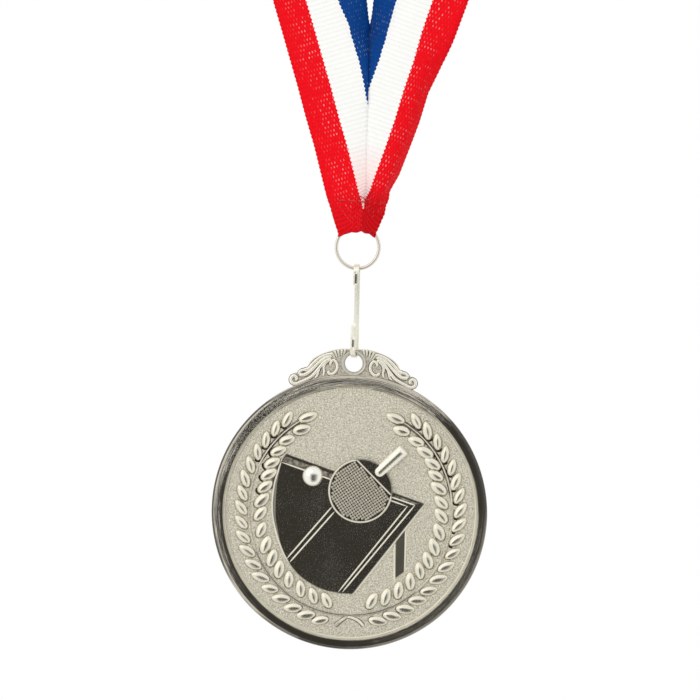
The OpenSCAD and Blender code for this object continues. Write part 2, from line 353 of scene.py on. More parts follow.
def linear(r, g, b):
    """Linear colour of an sRGB one written from 0 to 255."""
    def one(c):
        c /= 255
        return c / 12.92 if c <= 0.04045 else ((c + 0.055) / 1.055) ** 2.4
    return one(r), one(g), one(b)


def darker(tone, share):
    return tuple(share * c for c in tone)


# Noise scales count per metre, and ramps list (place, value) stops. These are the depths in metres
# of the relief that the metals' bump maps stand for.
FINE_BUMP, STREAK_BUMP, GRAIN_BUMP = 0.00004, 0.00006, 0.00016


def scratches(g, p):
    """Thin scattered scratches in two directions."""
    def one_way(scale, turn):
        m = g.node("ShaderNodeMapping", {"Vector": p, "Rotation": (0, turn, 0), "Scale": (1, 1, 0.2)})
        return g.ramp(g.noise(m, scale, 1.0), [(0.66, 0.0), (0.72, 1.0)])
    return one_way(3000, 0.6) + one_way(3400, -0.9)


def polished_metal(name, tone, rough, wave=0.25, marks=0.1, metal=1.0):
    """Bright plate with faint waviness, fine specks and scratches and slightly uneven tone."""
    g = material(name)
    p = g.place()
    fine = g.noise(p, 2600, 2)
    specks = g.ramp(g.noise(p, 4200, 1), [(0.66, 0.0), (0.74, 1.0)])
    relief = g.noise(p, 420, 2) * wave + fine * 0.06 - (specks + scratches(g, p)) * marks
    g.set(Base_Color=g.mix(g.noise(p, 180, 3), darker(tone, 0.86), tone), Metallic=metal,
          Roughness=g.ramp(fine, [(0.3, rough), (0.7, rough + 0.07)]), Normal=g.bump(relief, FINE_BUMP))
    return g.owner


def crevice_metal(name, dark, pale, scale, metal=1.0):
    """Metal mottled in patches between a dark and a pale tone."""
    g = material(name)
    p = g.place()
    patch = g.ramp(g.noise(p, scale, 3, 0.6), [(0.36, 0.0), (0.60, 1.0)])
    g.set(Base_Color=g.mix(patch, dark, pale), Metallic=metal, Roughness=0.36,
          Normal=g.bump(g.noise(p, 2400, 2), STREAK_BUMP, 0.8))
    return g.owner


def worn_mirror(name, tone):
    """Flat polished face gone hazy in patches, with fine specks and scratches."""
    g = material(name)
    p = g.place()
    haze = g.ramp(g.noise(p, 110, 2), [(0.38, 0.0), (0.66, 1.0)])
    specks = g.ramp(g.noise(p, 3300, 2, 0.6), [(0.46, 0.0), (0.74, 1.0)])
    relief = g.noise(p, 420, 2) * 0.1 - (specks + scratches(g, p)) * 0.08
    g.set(Base_Color=g.mix(haze, tone, darker(tone, 0.92)), Metallic=1.0,
          Roughness=haze * 0.11 + specks * 0.29 + 0.06, Normal=g.bump(relief, FINE_BUMP))
    return g.owner


def sandblasted_metal(name, tone):
    """Dull grainy face with dark pits and a few glints."""
    g = material(name)
    p = g.place()
    grain = g.noise(p, 3100, 3, 0.7)
    coarse = g.noise(p, 1300, 2)
    spots = g.ramp(grain, [(0.37, 0.52), (0.51, 0.88), (0.63, 1.1)])
    glint = g.ramp(g.noise(p, 4400, 1), [(0.54, 1.0), (0.70, 1.3)])
    base = g.mix(1.0, g.mix(g.noise(p, 60, 2), darker(tone, 0.88), tone), spots, "MULTIPLY")
    g.set(Base_Color=g.mix(1.0, base, glint, "MULTIPLY"), Metallic=0.6,
          Roughness=g.ramp(coarse, [(0.3, 0.44), (0.7, 0.58)]),
          Normal=g.bump(grain + coarse * 0.6, GRAIN_BUMP, 0.7))
    return g.owner


DISC_R = 32.5
DISC_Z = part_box("medal")[0].z / MM + DISC_R
# The wear and painted light of the rim's left side fade out between these radii
WORN_AND_LIT_R, PLAIN_RIM_R = 32.0, 32.15


def turned_metal(name, tone, worn_and_painted_light_tone, rough, lines, reach, scuff_and_painted_light=0.0, metal=1.0, inner=31.1):
    """Streaks round the medal's middle. The top, the left and the lower right take a second tone and more
    roughness: partly wear and partly painted light and shade.
    """
    g = material(name)
    p = g.place()
    x, _, z = g.split(p)
    up = z - DISC_Z * MM
    r = g.length(x, up)
    high = up / r
    side = x / r
    corner = side - high

    def rings(fine, turn, uneven):
        """Noise drawn out into streaks round the middle."""
        return g.noise(g.vec(r * fine, side * turn, high * turn), 1.0, 3, uneven)

    patchiness = rings(900, 5.0, 0.65)
    streak = rings(2700, 2.6, 0.6)
    band = rings(1500, 1.6, 0.7)
    top = g.rise(high + g.most(side, 0.0) * 0.12 + patchiness * 0.3, 0.92, 1.04)
    left = g.rise(patchiness * 0.4 - side, reach, reach + 0.2)
    low_right = g.rise(corner + patchiness * 0.5, 1.2, 1.5)
    high_left = g.rise(corner * -1.0, 1.15, 1.35)
    outer = g.rise(r + patchiness * 0.0009, inner * MM, (inner + 0.4) * MM)
    lip = g.most(g.rise(r, PLAIN_RIM_R * MM, WORN_AND_LIT_R * MM), g.rise(high, -0.4, -0.6))
    # worn stands for wear together with painted light and shade by side
    worn = g.most(top, g.most(left * lip, low_right * scuff_and_painted_light) * outer)
    line = g.ramp(band, [(0.43, 0.32), (0.53, 1.0)])
    base = g.mix(1.0, g.mix(worn, tone, worn_and_painted_light_tone), g.mix(worn, (1.0, 1.0, 1.0), line), "MULTIPLY")
    fine = g.ramp(streak, [(0.3, rough), (0.75, rough + 0.06)])
    pits = g.ramp(g.noise(p, 3300, 2), [(0.54, 0.0), (0.66, 1.0)])
    relief = streak * (worn * lines + 0.9) - pits * high_left * 0.8
    g.set(Base_Color=base, Metallic=metal, Roughness=fine + worn * 0.12,
          Normal=g.bump(relief, STREAK_BUMP, 0.9))
    return g.owner


# nickel toned down, partly painted shade standing in for the dark reflection of the flat polished faces
NICKEL_PAINTED_DARK = (0.34, 0.32, 0.28)
# Numbers after a polished metal's tone: roughness, waviness, depth of marks and share of metal
dull_metal = polished_metal("dull bands", (0.26, 0.245, 0.205), 0.34, 0.9, 0.15)
hook_metal = polished_metal("hook plate", (0.95, 0.93, 0.80), 0.30, 0.3, 0.12, 0.6)
ring_metal = polished_metal("ring plate", (0.86, 0.81, 0.71), 0.24, 0.2, 0.1, 0.75)
MEDAL_METALS = [
    polished_metal("polished nickel", (0.865, 0.825, 0.685), 0.22),
    sandblasted_metal("sandblasted nickel", (0.85, 0.80, 0.655)),
    worn_mirror("mirror nickel", NICKEL_PAINTED_DARK),
    # the crest is lighter at the top, left and lower right: partly wear, partly painted light
    turned_metal("turned nickel", NICKEL_PAINTED_DARK, (0.74, 0.70, 0.60), rough=0.08, lines=2.4,
                 reach=1.0, scuff_and_painted_light=0.5, inner=30.8),
    polished_metal("satin nickel", (0.66, 0.63, 0.55), 0.30, 0.4, 0.06),
    polished_metal("raised lines", (0.95, 0.905, 0.765), 0.38, 0.1, 0.0, 0.4),
    # painted shade: dark metal laid in hollows, at leaf roots and beside stems, tails, scrolls and fans
    crevice_metal("dark crevices", (0.025, 0.021, 0.017), (0.30, 0.27, 0.22), 520),
    polished_metal("crown nickel", (0.97, 0.94, 0.82), 0.26, 0.4, 0.08, 0.5),
    dull_metal,
    # the slope is darker at the top and left: painted shade, partly wear
    turned_metal("rim slope", (0.80, 0.77, 0.66), (0.60, 0.57, 0.49), rough=0.30, lines=0.3,
                 reach=1.1),
    crevice_metal("worn band", (0.07, 0.062, 0.05), (0.46, 0.42, 0.34), 900, 0.5),
    sandblasted_metal("crown plate", (0.66, 0.615, 0.505)),
    # the edge is dark with a lighter top, left and lower right: painted light and shade by side, partly
    # wear
    turned_metal("rim edge", (0.11, 0.10, 0.085), (0.64, 0.595, 0.50), rough=0.22, lines=0.6,
                 reach=0.55, scuff_and_painted_light=0.4, metal=0.6),
    # painted shadow: dark patches below the roots of some leaves
    crevice_metal("dark painted_root_shadow", (0.012, 0.010, 0.008), (0.07, 0.06, 0.045), 900),
    polished_metal("bright ball", (0.98, 0.955, 0.87), 0.2),
]
(POLISH, SAND, MIRROR, TURNED, SATIN, LINE, CREVICE_SHADE, CROWN, DULL, SLOPE, MOTTLE, PLATE,
 EDGE, ROOT_SHADOW, BALL) = range(len(MEDAL_METALS))


# Medal: x to the right, y up and z out of its face, from the disc's middle

FIELD = 0.6
medal = Shape(moved(0, 0, DISC_Z) @ rotation(90, "X"))
DISC_SIDES = 192


def bar(points, half, height, z, mat, taper=(1, 1), at=None, sides=10):
    medal.add(*ridge(points, half, height, z, taper, sides), mat, at)


def straight_bar(a, b, half, height, z, mat, steps=24):
    bar(segment(a, b, steps) + [b], half, height, z, mat)


# The shift starts at the first of these radii, is whole between the next two and ends at the last
SHIFT_R = (20, 27, 30.6, 32.3)
OFF_CENTRE = Vector((0.33, -0.2))
# The side that faces this way grows by up to this share between these radii
WIDER_AT = Vector((0.82, -0.57))
WIDER = 0.011
WIDER_R = (30.3, 31.8)


def struck(part, shift=OFF_CENTRE):
    """Shifts the rim's crest off the disc's middle and widens one side, as it was struck."""
    verts, faces = part
    out = []
    for x, y, z in verts:
        r = math.hypot(x, y)
        share = float(np.interp(r, SHIFT_R, (0, 1, 1, 0)))
        lean = max(0, WIDER_AT.x * x + WIDER_AT.y * y) / max(r, 1)
        grow = 1 + WIDER * lean ** 2 * float(np.interp(r, WIDER_R, (0, 1)))
        out.append((x * grow + shift.x * share, y * grow + shift.y * share, z))
    return out, faces


BACK = [(0, -1.1), (28.6, -1.1)]
WALL = [BACK[-1], (28.95, -1.2), (29.1, -1.42), (29.3, -1.5), (31.9, -1.5), (32.25, -1.42),
        (32.45, -1.2), (DISC_R, -1.0), (DISC_R, 0.74), (32.49, 0.88)]
BEVEL = [WALL[-1], (32.45, 1.02), (32.38, 1.14), (32.27, 1.25), (32.19, 1.3), (32.12, 1.25),
         (32.03, 1.37), (31.95, 1.405), (31.86, 1.36), (31.78, 1.445)]
CREST = [BEVEL[-1], (31.6, 1.468), (31.4, 1.482), (31.15, 1.493), (30.9, 1.498), (30.65, 1.5),
         (30.45, 1.5), (30.3, 1.49), (30.2, 1.46), (30.14, 1.42)]
INSIDE = [CREST[-1], (30.05, 1.28), (29.95, 1.06), (29.84, 0.84), (29.74, 0.70), (29.6, 0.62),
          (29.45, FIELD)]
FACE = [INSIDE[-1], (27, FIELD), (20, FIELD), (10, FIELD), (0, FIELD)]
medal.add(*lathe(BACK, DISC_SIDES), SAND)
medal.add(*struck(lathe(WALL, DISC_SIDES), Vector((0, 0))), SATIN)
for profile, mat in ((BEVEL, EDGE), (CREST, TURNED), (INSIDE, SLOPE), (FACE, SAND)):
    medal.add(*struck(lathe(profile, DISC_SIDES)), mat)


# Wreath: angles run from the top down each side

def table_of(pairs):
    """Function that reads values between listed (angle, value) marks."""
    return lambda a: float(np.interp(a, [p[0] for p in pairs], [p[1] for p in pairs]))


OUTER_R = table_of([(35, 26.55), (50, 26.4), (58, 26.2), (75, 26.05), (95, 25.95), (110, 26.15),
                    (135, 26.4), (150, 26.5), (166, 26.75)])
OUTER_SPLAY = table_of([(35, 30), (55, 38), (95, 40), (120, 38), (150, 33), (166, 24)])
OUTER_RISE = table_of([(90, 0.95), (115, 0.72)])
INNER_R = table_of([(31, 22.55), (45, 22.65), (58, 22.45), (66, 21.9), (76, 21.5), (110, 21.5),
                    (135, 21.65), (150, 21.85), (168, 21.8)])
INNER_SPLAY = table_of([(31, 20), (55, 27), (66, 35), (80, 43), (92, 40), (103, 34), (113, 43),
                        (122, 51), (165, 48)])
INNER_AT = (31.5, 42.4, 50.8, 59, 66.3, 74.5, 83.4, 92, 102.2, 112.2, 121.4, 129.8, 138.6, 147.8,
            156.8, 165.7)
LEFT_IN = table_of([(44, 0), (54, 0.35), (62, 0.6), (76, 0.55), (88, 0.2), (98, 0)])
STEM_R = table_of([(28, 24.5), (60, 24.3), (90, 24.05), (120, 24.3), (150, 24.6), (185, 24.5)])
ROOT_SHADE_BELOW = table_of([(50, 0.5), (110, -1.1)])
LEAF_LEN, OUTER_WIDE, INNER_WIDE = 4.4, 2.25, 2.55
OUTER_LEAVES, FIRST_LEAF, LEAF_STEP = 18, 35.1, 7.65


def leaf(length, width, height):
    """Almond-shaped leaf along y with its tip at +y: a foot, and sides that slope up to a keel."""
    rings = [(1.13, -0.1), (1.09, 0.03), (1.0, 0.15), (0.97, 0.28), (0.89, 0.44), (0.72, 0.60),
             (0.56, 0.72), (0.41, 0.82), (0.26, 0.895), (0.13, 0.94), (0.04, 0.955)]
    sides, tip_power, root_power = 28, 1.15, 0.95
    loops = []
    for share, z in rings:
        half_x = width / 2 * share
        half_y = length / 2 - (1 - share) * width * 0.56
        keel_back = 0.3 * max(0, 1 - share)
        loop = []
        for i in range(sides):
            across, along = polar(1, 360 * (i + 0.5) / sides)
            out = abs(across) ** (tip_power if along > 0 else root_power)
            loop.append((half_x * math.copysign(out, across), half_y * along - keel_back, z * height))
        loops.append(loop)
    return loops


def branch(side):
    """Half of the wreath, the left one for side 1 and the right one for side -1."""
    turn = moved(0.35, 0, FIELD) @ rotation(1.1)

    def put_leaf(angle, radius, splay, size, wide, spots=(0, 0), rise=0.95):
        """Leaf whose root is darkened as painted shade. Between the two angles of spots it also has a
        patch of painted shadow below its root.
        """
        tilt = rotation(random.uniform(-4, 4), "Y")
        at = turn @ rotation(side * angle) @ moved(0, radius) @ rotation(side * (splay - 90)) @ tilt
        length = LEAF_LEN * size
        loops = leaf(length, wide * size, rise)
        verts, faces = loft(loops[:3], cap_last=False)
        # faces near the root take the dark metal as painted shade
        dark = [f for f in faces if sum(verts[i][1] for i in f) < len(f) * ROOT_SHADE_BELOW(angle)]
        medal.add(verts, dark, CREVICE_SHADE, at)
        medal.add(verts, [f for f in faces if f not in dark], PLATE, at)
        medal.add(*loft(loops[2:]), POLISH, at)
        # leaves between the angles of spots get a patch of painted shadow below the root
        if spots[0] < angle < spots[1]:
            circle = [polar(1, 22.5 * i) for i in range(16)]
            root_shadow_patch = [(x, 0.62 * y - 0.46 * length) for x, y in circle]
            medal.add(*loft([at_z(root_shadow_patch, -0.05), at_z(inset(root_shadow_patch, 0.08), 0.05)]), ROOT_SHADOW, at)

    for i in range(OUTER_LEAVES):
        angle = FIRST_LEAF + LEAF_STEP * i
        put_leaf(angle, OUTER_R(angle) + random.uniform(-0.1, 0.1),
                 OUTER_SPLAY(angle) + random.uniform(-3, 3), random.uniform(0.95, 1.05), OUTER_WIDE,
                 (30, 62 if side > 0 else 104), OUTER_RISE(angle))
    for angle in INNER_AT:
        nearer = LEFT_IN(angle) if side > 0 else 0
        put_leaf(angle, INNER_R(angle) - nearer + random.uniform(-0.08, 0.08),
                 random.uniform(-3, 3) - INNER_SPLAY(angle), random.uniform(0.95, 1.05), INNER_WIDE,
                 (44, 78 if side > 0 else 62))
    # the leaf at the branch's tip, then the stem, which is clear for some points and faint for more
    put_leaf(25.0, 24.5, -4, 1.1, 2.2)
    stem = [polar(STEM_R(angle), 90 + side * angle) for angle in np.linspace(28, 180, 91)]
    clear, faint = (21, 52) if side > 0 else (34, 68)
    even = (1, 1)
    # the stem's clear part lies on a band of painted shade
    for points, half, height, taper, mat in (
            (stem[:clear], 0.62, 0.1, (1, 0.7), CREVICE_SHADE),
            (stem[:clear + 2], 0.22, 0.3, (0.7, 1), LINE),
            (stem[clear:faint], 0.46, 0.1, even, PLATE),
            (stem[clear:faint], 0.26, 0.3, even, SAND),
            (stem[faint - 2:], 0.5, 0.12, even, PLATE),
            (stem[faint - 2:], 0.14, 0.17, even, DULL)):
        bar(points, half, height, 0, mat, taper, turn)


RIGHT_TAIL = [(0.4, -25.0), (1.4, -25.1), (2.6, -25.5), (3.6, -26.2), (4.4, -27.1)]
LEFT_TAIL = [(0.3, -25.0), (-0.5, -25.5), (-1.5, -26.3), (-2.5, -27.2)]
# each tail lies on a wider band of painted shade
for tail, half, mat in ((RIGHT_TAIL, 0.36, LINE), (LEFT_TAIL, 0.42, SAND)):
    bar(curve(tail, 0.2), half + 0.2, 0.1, FIELD, CREVICE_SHADE, (0.8, 1))
    bar(curve(tail, 0.2), half, 0.34, FIELD, mat, (0.8, 1))
branch(1)
branch(-1)


# Table: round left end, bevelled edge, lines and worn bands on its top, and one leg

def bevelled_plate(loop, top_loop, height, bevel, top):
    verts, faces = loft([at_z(loop, FIELD - 0.1), at_z(loop, FIELD + 0.12),
                         at_z(top_loop, FIELD + height)], cap_last=False)
    medal.add(verts, faces, bevel)
    medal.add(at_z(top_loop, FIELD + height), [list(range(len(top_loop)))], top)


TABLE_H = 0.35
TABLE_TOP = FIELD + TABLE_H
SIDE_STEPS = 24
NARROW = 0.14
LEFT_END = [tuple(p) for p in curve(
    [(-15.3, 13.2), (-16.4, 11.18), (-17.38, 7.83), (-17.8, 6.1), (-18.06, 4.18), (-18.2, 2.35),
     (-18.2, 0.5), (-17.95, -2.0), (-17.35, -4.5), (-15.94, -8.67), (-14.0, -12.3),
     (-10.73, -15.91), (-5.98, -18.51), (-1.74, -19.35), (1.4, -19.5)], 0.5)]
FAR_CORNER = (17.75, 2.45)
TABLE = (segment(LEFT_END[-1], FAR_CORNER, SIDE_STEPS)
         + segment(FAR_CORNER, LEFT_END[0], SIDE_STEPS) + LEFT_END[:-1])


def end_band(x, y):
    """Width of the bevel at the table's round left end."""
    if x >= -9:
        return NARROW
    return float(np.interp(y, (-12, -8.7, -4.5, 1, 4, 8, 11),
                           (NARROW, 0.25, 0.55, 0.85, 0.75, 0.4, NARROW)))


widths = [NARROW] * (2 * SIDE_STEPS) + [end_band(*p) for p in LEFT_END[:-1]]
bevelled_plate(TABLE, inset(TABLE, widths), TABLE_H, DULL, MIRROR)
for a, b in (((-16.3, 11.13), (13.75, 1.67)), ((13.85, 1.75), (-1.87, -19.1)),
             ((15.6, 2.05), (-0.9, -19.1)), ((15.55, 2.0), (9.9, 3.75)),
             ((-4.0, 1.05), (-14.3, -11.6)), ((-3.4, -0.15), (-13.6, -12.45))):
    straight_bar(a, b, 0.18, 0.17, TABLE_TOP, LINE)
for band in ([(-16.1, 11.35), (-7.0, 8.5), (-6.85, 9.65), (-15.35, 12.55)],
             [(-7.0, 8.5), (-3.9, 7.55), (-3.75, 8.55), (-6.85, 9.65)],
             [(10.6, 3.8), (15.8, 2.2), (16.5, 2.35), (10.9, 4.2)]):
    medal.add(*loft([at_z(band, TABLE_TOP - 0.05), at_z(band, TABLE_TOP + 0.02)]), MOTTLE)
arc_line = [p for p in LEFT_END if p[0] < -13.6 and p[1] < 11.3]
bar(arc_line, 0.2, 0.22, FIELD + 0.2, LINE)
# painted shade along the gap between the leaves and the table's round end
leaf_gap = [(x - 0.5, y) for x, y in LEFT_END if 4.6 < y < 11.3]
bar(leaf_gap, 0.42, 0.06, FIELD, CREVICE_SHADE)

LEG = [(11.5, -15.4), (13.45, -13.9), (13.35, -4.0), (11.35, -6.7)]
bevelled_plate(LEG, inset(LEG, 0.06), 0.26, SATIN, DULL)
straight_bar((13.7, -14.2), (13.6, -3.9), 0.24, 0.3, FIELD, LINE, 16)
straight_bar((11.05, -7.3), (11.35, -16.6), 0.24, 0.3, FIELD, LINE, 16)
straight_bar((1.65, -19.6), (17.9, 2.3), 0.25, 0.34, FIELD + 0.02, LINE, 30)


# Bat and ball: the blade is smooth by the handle and has a border and pimples on the rest

BAT = moved(2.53, 4.93, FIELD)
BLADE_H, BORDER_R, BORDER_FROM, BORDER_TURN = 0.8, 7.36, 98.4, 254.3
medal.add(*lathe([(7.66, -0.1), (7.64, 0.55), (7.56, 0.7), (7.4, BLADE_H), (0, BLADE_H)], 128),
          MIRROR, BAT)
border = [polar(BORDER_R, BORDER_FROM + BORDER_TURN * i / 120) for i in range(121)]
bar(border, 0.22, 0.3, BLADE_H, LINE, at=BAT)
bar(segment((-1.09, 7.34), (7.53, -0.96), 40), 0.2, 0.3, BLADE_H, LINE, at=BAT)


def pimples():
    pitch, rows, radius, height = 0.634, 13, 0.325, 0.26
    reach, smooth_from = 6.85, 4.0
    to_handle = Vector((0.694, 0.72))
    verts, faces = lathe([(radius, -0.05), (radius * 0.94, height * 0.42),
                          (radius * 0.72, height * 0.74), (radius * 0.4, height * 0.94),
                          (0, height)], 10)
    across, along = polar(pitch, 35)
    for i in range(-rows, rows + 1):
        for j in range(-rows, rows + 1):
            x, y = i * across - j * along, i * along + j * across
            if math.hypot(x, y) <= reach and to_handle.dot(Vector((x, y))) <= smooth_from:
                medal.add(verts, faces, PLATE, BAT @ moved(x, y, BLADE_H))


def handle():
    """Hipped bar with a narrow flat ridge, its near end round."""
    length, near_half, far_half = 9.1, 1.32, 1.42
    near = [(near_half + x, y) for x, y in [polar(near_half, 90 + 11.25 * i) for i in range(17)]]
    far = [(length - 0.35, -far_half), (length - 0.1, -1.3), (length, -1.0), (length + 0.02, 0),
           (length, 1.0), (length - 0.1, 1.3), (length - 0.35, far_half)]
    base = near + segment(near[-1], far[0], 10)[1:] + far + segment(far[-1], near[0], 10)[1:]
    ridge_a, ridge_b, ridge_half = 1.05, length - 1.25, 0.04

    def towards_ridge(share):
        out = []
        for x, y in base:
            rx = min(ridge_b, max(ridge_a, x))
            ry = max(-ridge_half, min(ridge_half, y))
            out.append((x + (rx - x) * share, y + (ry - y) * share))
        return out

    loops = [at_z(base, -0.1), at_z(base, 0.5)]
    for share, z in ((0.06, 0.7), (0.2, 0.88), (0.45, 1.08), (0.62, 1.21), (0.76, 1.29),
                     (0.87, 1.335), (0.95, 1.352), (1.0, 1.356)):
        loops.append(at_z(towards_ridge(share), z))
    at = moved(6.27, 8.92, FIELD) @ rotation(44.6) @ moved(-0.3, 0)
    polished_from = 5
    medal.add(*loft(loops[:polished_from + 1], cap_last=False), CROWN, at)
    medal.add(*loft(loops[polished_from:]), POLISH, at)


def ball():
    radius, height = 2.62, 1.55
    dome = (radius ** 2 + height ** 2) / (2 * height)
    edge = math.degrees(math.asin(radius / dome))
    profile = [(radius + 0.1, -0.1), (radius + 0.04, 0.03)]
    for i in range(15):
        up, out = polar(dome, edge * (1 - i / 14))
        profile.append((out, height - dome + up))
    medal.add(*lathe(profile, 56), BALL, moved(-8.84, 8.13, FIELD))


pimples()
handle()
ball()


# Crown: bevelled plate, collar round the hole, scrolls and fluted fans

HOLE = Vector((0, 35.1))
PLATE_HALF = 0.85
RIGHT_EDGE = [tuple(p) for p in curve(
    [(0, 38.5), (2.7, 38.5), (4.6, 38.2), (6.2, 37.7), (7.9, 37), (9.4, 36.1), (10.5, 35),
     (11, 33.9), (12.1, 33.5), (12.9, 32.7), (14, 32.4), (14.8, 31.7), (15.1, 30.7),
     (14.7, 29.7), (13.6, 29)], 0.35)]


def crown_plate():
    outline = RIGHT_EDGE[::-1] + [(-x, y) for x, y in RIGHT_EDGE[1:]]
    loops = [at_z(inset(outline, 0.14), -PLATE_HALF), at_z(outline, -0.72), at_z(outline, 0.5),
             at_z(inset(outline, 0.07), 0.68), at_z(inset(outline, 0.22), PLATE_HALF)]
    medal.add(*loft(loops, cap_last=False), POLISH)
    hole = [HOLE + Vector(polar(2.9, 7.5 * i)) for i in range(48)]
    for outer, front in ((loops[0], False), (loops[-1], True)):
        inner = at_z(hole, outer[0][2])
        verts = outer + inner
        faces = []
        for a, b, c in tessellate_polygon([[Vector(p) for p in outer], [Vector(p) for p in inner]]):
            pa, pb, pc = (Vector(verts[i]) for i in (a, b, c))
            faces.append([a, b, c] if ((pb - pa).cross(pc - pa).z > 0) == front else [a, c, b])
        medal.add(verts, faces, PLATE)


COLLAR = [(2.95, 0.78), (3.0, 0.95), (2.93, 1.05), (2.78, 1.09), (2.58, 1.0), (2.3, 0.72),
          (2.13, 0.53), (2.05, 0.4), (2.05, -0.4), (2.13, -0.53), (2.38, -0.78), (2.55, -0.87),
          (2.95, -0.86)]
# Each scroll: its line, half its width, its height and the taper of its two ends
SCROLLS = [
    ([(4.9, 37.3), (6.6, 36.9), (8.3, 36.0), (9.6, 34.8), (10.6, 33.6), (11.5, 32.9)],
     0.5, 0.5, (0.6, 0.8)),
    ([(5.2, 36.6), (6.7, 36.2), (8.1, 35.2), (9.3, 33.9), (10.5, 32.7), (11.7, 32.0), (12.9, 32.0)],
     0.5, 0.62, (0.7, 0.9)),
    ([(5.4, 36.0), (6.9, 35.3), (8.0, 34.0), (9.0, 32.7), (10.0, 31.6), (11.0, 31.0), (12.4, 30.3),
      (13.7, 29.8), (14.6, 30.2), (14.75, 31.1), (14.1, 31.7), (13.4, 31.2), (13.7, 30.6)],
     0.5, 0.6, (0.8, 0.8)),
    ([(5.5, 34.4), (5.5, 35.1), (4.8, 35.7), (4.05, 34.9), (3.95, 33.6), (4.8, 32.5), (5.8, 32.5),
      (6.0, 33.2)], 0.48, 0.58, (0.7, 0.8)),
    ([(5.9, 35.7), (6.7, 35.0), (7.1, 34.0), (7.0, 32.8), (7.2, 31.8)], 0.44, 0.5, (0.9, 0.6)),
    ([(8.1, 33.6), (8.4, 32.8), (8.6, 31.9), (9.2, 31.3)], 0.36, 0.45, (1, 0.7)),
    ([(10.9, 33.6), (11.5, 33.2), (12.3, 33.0), (12.9, 32.4), (12.4, 31.9)], 0.4, 0.5, (1, 0.7)),
]
FANS = [((2.5, 37.0), (2.1, 38.35)), ((3.05, 36.8), (2.95, 38.35)), ((3.55, 36.55), (3.85, 38.2)),
        ((4.0, 36.3), (4.7, 37.9)), ((4.35, 35.95), (5.4, 37.5))]
crown_plate()
medal.add(*lathe(COLLAR, 64, closed=True), SATIN, moved(HOLE.x, HOLE.y))
# scrolls and fans each lie on a wider band of painted shade
for side in (1, -1):
    for points, half, height, taper in SCROLLS:
        line = [(side * p[0], p[1]) for p in curve(points, 0.16)]
        bar(line, half + 0.17, 0.1, PLATE_HALF, CREVICE_SHADE, taper)
        bar(line, half, height, PLATE_HALF, CROWN, taper, sides=14)
    for a, b in FANS:
        line = [(side * p[0], p[1]) for p in segment(a, b, 10) + [b]]
        bar(line, 0.42, 0.06, PLATE_HALF, CREVICE_SHADE, (0.7, 1))
        bar(line, 0.34, 0.5, PLATE_HALF, CROWN, (0.6, 1))

medal_obj = medal.make("medal_casting", MEDAL_METALS)
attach(medal_obj, "medal")
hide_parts("medal")


# Hook

hook_low, hook_high = (p.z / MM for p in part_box("hook"))
HOOK_W, HOOK_T, HOOK_R = 1.3, 0.5, 1.6
HOOK_MID = HOOK_R + HOOK_T / 2
EYE_Z = hook_high - HOOK_R - HOOK_T
BEND_Z = hook_low + HOOK_R + HOOK_T
UPPER_TONGUE, LOWER_TONGUE = 3, 6
# Section of the strip in shares of half its width and half its thickness. Along a slot in each
# tongue one face is pressed in, which leaves a share of the height there.
SECTION = [(1, 0), (0.97, 0.55), (0.86, 0.92), (0.46, 1), (0.36, 1), (-0.36, 1), (-0.46, 1),
           (-0.86, 0.92), (-0.97, 0.55), (-1, 0), (-0.97, -0.55), (-0.86, -0.92), (0, -1),
           (0.86, -0.92), (0.97, -0.55)]
SLOT_FACE = 4
SLOT_LEFT = 0.6


def hook_line():
    """(y, z) along the strip, from the upper tongue's end to the lower one's."""
    bend = [polar(HOOK_MID, 9 * i) for i in range(21)]
    pts = [(-HOOK_MID, EYE_Z - UPPER_TONGUE * (1 - i / 8)) for i in range(8)]
    pts += [(-y, EYE_Z + z) for y, z in bend]
    pts += [(HOOK_MID, EYE_Z + (BEND_Z - EYE_Z) * i / 24) for i in range(1, 24)]
    pts += [(y, BEND_Z - z) for y, z in bend]
    return pts + [(-HOOK_MID, BEND_Z + LOWER_TONGUE * i / 14) for i in range(1, 15)]


def hook_shape():
    line = hook_line()
    last = len(line) - 1
    slots = [*range(1, 8), *range(last - 13, last - 8)]
    loops = []
    for i, (y, z) in enumerate(line):
        a, b = line[max(0, i - 1)], line[min(last, i + 1)]
        d = Vector((b[0] - a[0], b[1] - a[1])).normalized()
        near_end = min(2, i, last - i)
        width = HOOK_W * (0.72, 0.93, 1)[near_end]
        thick = HOOK_T * (0.5, 0.9, 1)[near_end]
        twist = rotation(np.interp(z, (BEND_Z, EYE_Z), (-12, -5)))
        loop = []
        for j, (across, high) in enumerate(SECTION):
            pressed = SLOT_LEFT if i in slots and j in (SLOT_FACE, SLOT_FACE + 1) else 1
            out = thick / 2 * high * pressed
            loop.append(tuple(twist @ Vector((width / 2 * across, y - d.y * out, z + d.x * out))))
        loops.append(loop)
    verts, faces = loft(loops, cap_first=True)
    # the slot floors take the dark dull metal, painted shade in the grooves
    floor = [faces[i * len(SECTION) + SLOT_FACE] for i in slots if i + 1 in slots]
    shape = Shape()
    shape.add(verts, floor, 1)
    shape.add(verts, [f for f in faces if f not in floor])
    return shape


hook_obj = hook_shape().make("strip_hook", [hook_metal, dull_metal], sharp=40)
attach(hook_obj, "hook")
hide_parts("hook")


# Ring

ring_low, ring_high = (p.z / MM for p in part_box("split_ring"))
RING_Z = (ring_low + ring_high) / 2
RING_R, WIRE_R, RING_GAP = 5.05, 0.45, 2.4
wire = []
for i in range(121):
    x, z = polar(RING_R, 90 - RING_GAP / 2 - (360 - RING_GAP) * i / 120)
    wire.append((x, 0, RING_Z + z))
ring = Shape()
ring.add(*tube(wire, WIRE_R, 14))
ring_obj = ring.make("ring_wire", [ring_metal], sharp=40)
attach(ring_obj, "ring")
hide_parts("split_ring")


# Ribbon: each half is worked out with x growing outwards from the middle. s runs along the tape's
# middle line from the crossing of the strands, and v across it from the outer edge to the seam.

